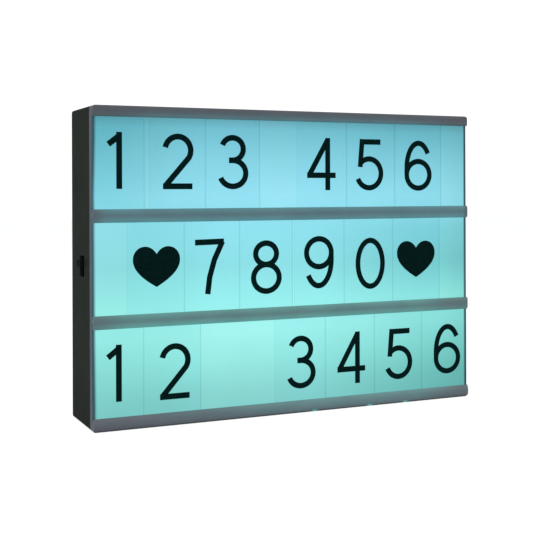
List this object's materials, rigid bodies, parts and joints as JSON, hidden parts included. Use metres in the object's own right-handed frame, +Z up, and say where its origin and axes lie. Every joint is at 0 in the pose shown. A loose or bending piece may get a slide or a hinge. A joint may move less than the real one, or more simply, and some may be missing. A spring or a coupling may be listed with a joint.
{
  "type": "cinema light box",
  "caption": "Lit desktop sign box: shallow black case, glowing front with rails that hold sliding clear character tiles, side power switch, rear battery door and keyholes.",
  "frame": {"origin": "middle of the footprint, at the level the box stands on", "axes": "+X along the front to the viewer's right, front faces -Y, +Z up"},
  "size_m": [0.3028, 0.06, 0.22],
  "materials": {
    "housing_black": "fine matte moulding",
    "diffuser": "frosted translucent white, lit cyan from inside",
    "rail": "translucent rail over the lit panel",
    "tile_film": "clear film",
    "reflector_white": "matt white sheet",
    "strip_board": "white solder mask",
    "led": "white packages, lit",
    "lead_red": "insulated wire",
    "lead_black": "insulated wire",
    "cell_jacket": "printed jacket left plain",
    "nickel": "nickel-plated strip",
    "switch_black": "moulded",
    "knob_black": "moulded, darker than the case",
    "screw_steel": "zinc-plated",
    "board_green": "solder mask",
    "chip_black": "moulded",
    "resistor": "matt",
    "capacitor_can": "bare"
  },
  "bodies": {
    "case": {"rear_housing": "housing_black", "front_panel": "diffuser", "top_rail": "rail", "upper_rail": "rail", "lower_rail": "rail", "bottom_rail": "rail", "reflector_plate": "reflector_white", "light_strip_upper": "strip_board", "light_strip_lower": "strip_board", "leds_upper": "led", "leds_lower": "led", "lead_upper_red": "lead_red", "lead_upper_black": "lead_black", "lead_lower_red": "lead_red", "lead_lower_black": "lead_black", "cells_left": "cell_jacket", "cells_right": "cell_jacket", "contact_plates": "nickel", "contact_springs": "nickel", "switch_frame": "nickel", "switch_body": "switch_black", "switch_pins": "nickel", "case_screws": "screw_steel", "board_screws": "screw_steel", "switch_screws": "screw_steel", "control_board": "board_green", "controller_chip": "chip_black", "board_resistors": "resistor", "board_capacitor": "capacitor_can", "inlet_shell": "nickel", "inlet_tongue": "chip_black", "lead_switch_red": "lead_red", "lead_switch_black": "lead_black", "lead_battery_red": "lead_red", "lead_battery_black": "lead_black"},
    "power_knob": {"switch_knob": "knob_black"},
    "battery_door": {"battery_door": "housing_black"},
    "tile_top_1": {"tile_top_1": "tile_film"},
    "tile_top_2": {"tile_top_2": "tile_film"},
    "tile_top_3": {"tile_top_3": "tile_film"},
    "tile_top_4": {"tile_top_4": "tile_film"},
    "tile_top_5": {"tile_top_5": "tile_film"},
    "tile_top_6": {"tile_top_6": "tile_film"},
    "tile_middle_1": {"tile_middle_1": "tile_film"},
    "tile_middle_2": {"tile_middle_2": "tile_film"},
    "tile_middle_3": {"tile_middle_3": "tile_film"},
    "tile_middle_4": {"tile_middle_4": "tile_film"},
    "tile_middle_5": {"tile_middle_5": "tile_film"},
    "tile_middle_6": {"tile_middle_6": "tile_film"},
    "tile_bottom_1": {"tile_bottom_1": "tile_film"},
    "tile_bottom_2": {"tile_bottom_2": "tile_film"},
    "tile_bottom_3": {"tile_bottom_3": "tile_film"},
    "tile_bottom_4": {"tile_bottom_4": "tile_film"},
    "tile_bottom_5": {"tile_bottom_5": "tile_film"},
    "tile_bottom_6": {"tile_bottom_6": "tile_film"}
  },
  "joints": [
    {"name": "power_knob_slide", "type": "slide", "parent": "case", "child": "power_knob", "axis": [0, 0, -1], "range_m": [0, 0.004]},
    {"name": "battery_door_hinge", "type": "hinge", "parent": "case", "child": "battery_door", "pos_m": [0, 0.029, 0.0153], "axis": [-1, 0, 0], "range_deg": [0, 80]},
    {"name": "tile_top_1_slide", "type": "slide", "parent": "tile_top_2", "child": "tile_top_1", "axis": [1, 0, 0], "range_m": [-0.019, 0.0032]},
    {"name": "tile_top_2_slide", "type": "slide", "parent": "tile_top_3", "child": "tile_top_2", "axis": [1, 0, 0], "range_m": [-0.006, 0.0002]},
    {"name": "tile_top_3_slide", "type": "slide", "parent": "case", "child": "tile_top_3", "axis": [1, 0, 0], "range_m": [-0.006, 0.0146]},
    {"name": "tile_top_4_slide", "type": "slide", "parent": "case", "child": "tile_top_4", "axis": [1, 0, 0], "range_m": [-0.0146, 0.006]},
    {"name": "tile_top_5_slide", "type": "slide", "parent": "tile_top_4", "child": "tile_top_5", "axis": [1, 0, 0], "range_m": [-0.0002, 0.006]},
    {"name": "tile_top_6_slide", "type": "slide", "parent": "tile_top_5", "child": "tile_top_6", "axis": [1, 0, 0], "range_m": [-0.0002, 0.044]},
    {"name": "tile_middle_1_slide", "type": "slide", "parent": "tile_middle_2", "child": "tile_middle_1", "axis": [1, 0, 0], "range_m": [-0.044, 0.0002]},
    {"name": "tile_middle_2_slide", "type": "slide", "parent": "tile_middle_3", "child": "tile_middle_2", "axis": [1, 0, 0], "range_m": [-0.008, 0.0002]},
    {"name": "tile_middle_3_slide", "type": "slide", "parent": "case", "child": "tile_middle_3", "axis": [1, 0, 0], "range_m": [-0.008, 0.0006]},
    {"name": "tile_middle_4_slide", "type": "slide", "parent": "case", "child": "tile_middle_4", "axis": [1, 0, 0], "range_m": [-0.0006, 0.008]},
    {"name": "tile_middle_5_slide", "type": "slide", "parent": "tile_middle_4", "child": "tile_middle_5", "axis": [1, 0, 0], "range_m": [-0.0004, 0.008]},
    {"name": "tile_middle_6_slide", "type": "slide", "parent": "tile_middle_5", "child": "tile_middle_6", "axis": [1, 0, 0], "range_m": [-0.0006, 0.044]},
    {"name": "tile_bottom_1_slide", "type": "slide", "parent": "tile_bottom_2", "child": "tile_bottom_1", "axis": [1, 0, 0], "range_m": [-0.024, 0.0002]},
    {"name": "tile_bottom_2_slide", "type": "slide", "parent": "case", "child": "tile_bottom_2", "axis": [1, 0, 0], "range_m": [-0.006, 0.028]},
    {"name": "tile_bottom_3_slide", "type": "slide", "parent": "case", "child": "tile_bottom_3", "axis": [1, 0, 0], "range_m": [-0.028, 0.006]},
    {"name": "tile_bottom_4_slide", "type": "slide", "parent": "tile_bottom_3", "child": "tile_bottom_4", "axis": [1, 0, 0], "range_m": [-0.0002, 0.006]},
    {"name": "tile_bottom_5_slide", "type": "slide", "parent": "tile_bottom_4", "child": "tile_bottom_5", "axis": [1, 0, 0], "range_m": [-0.0002, 0.006]},
    {"name": "tile_bottom_6_slide", "type": "slide", "parent": "tile_bottom_5", "child": "tile_bottom_6", "axis": [1, 0, 0], "range_m": [-0.0002, 0.018]}
  ]
}
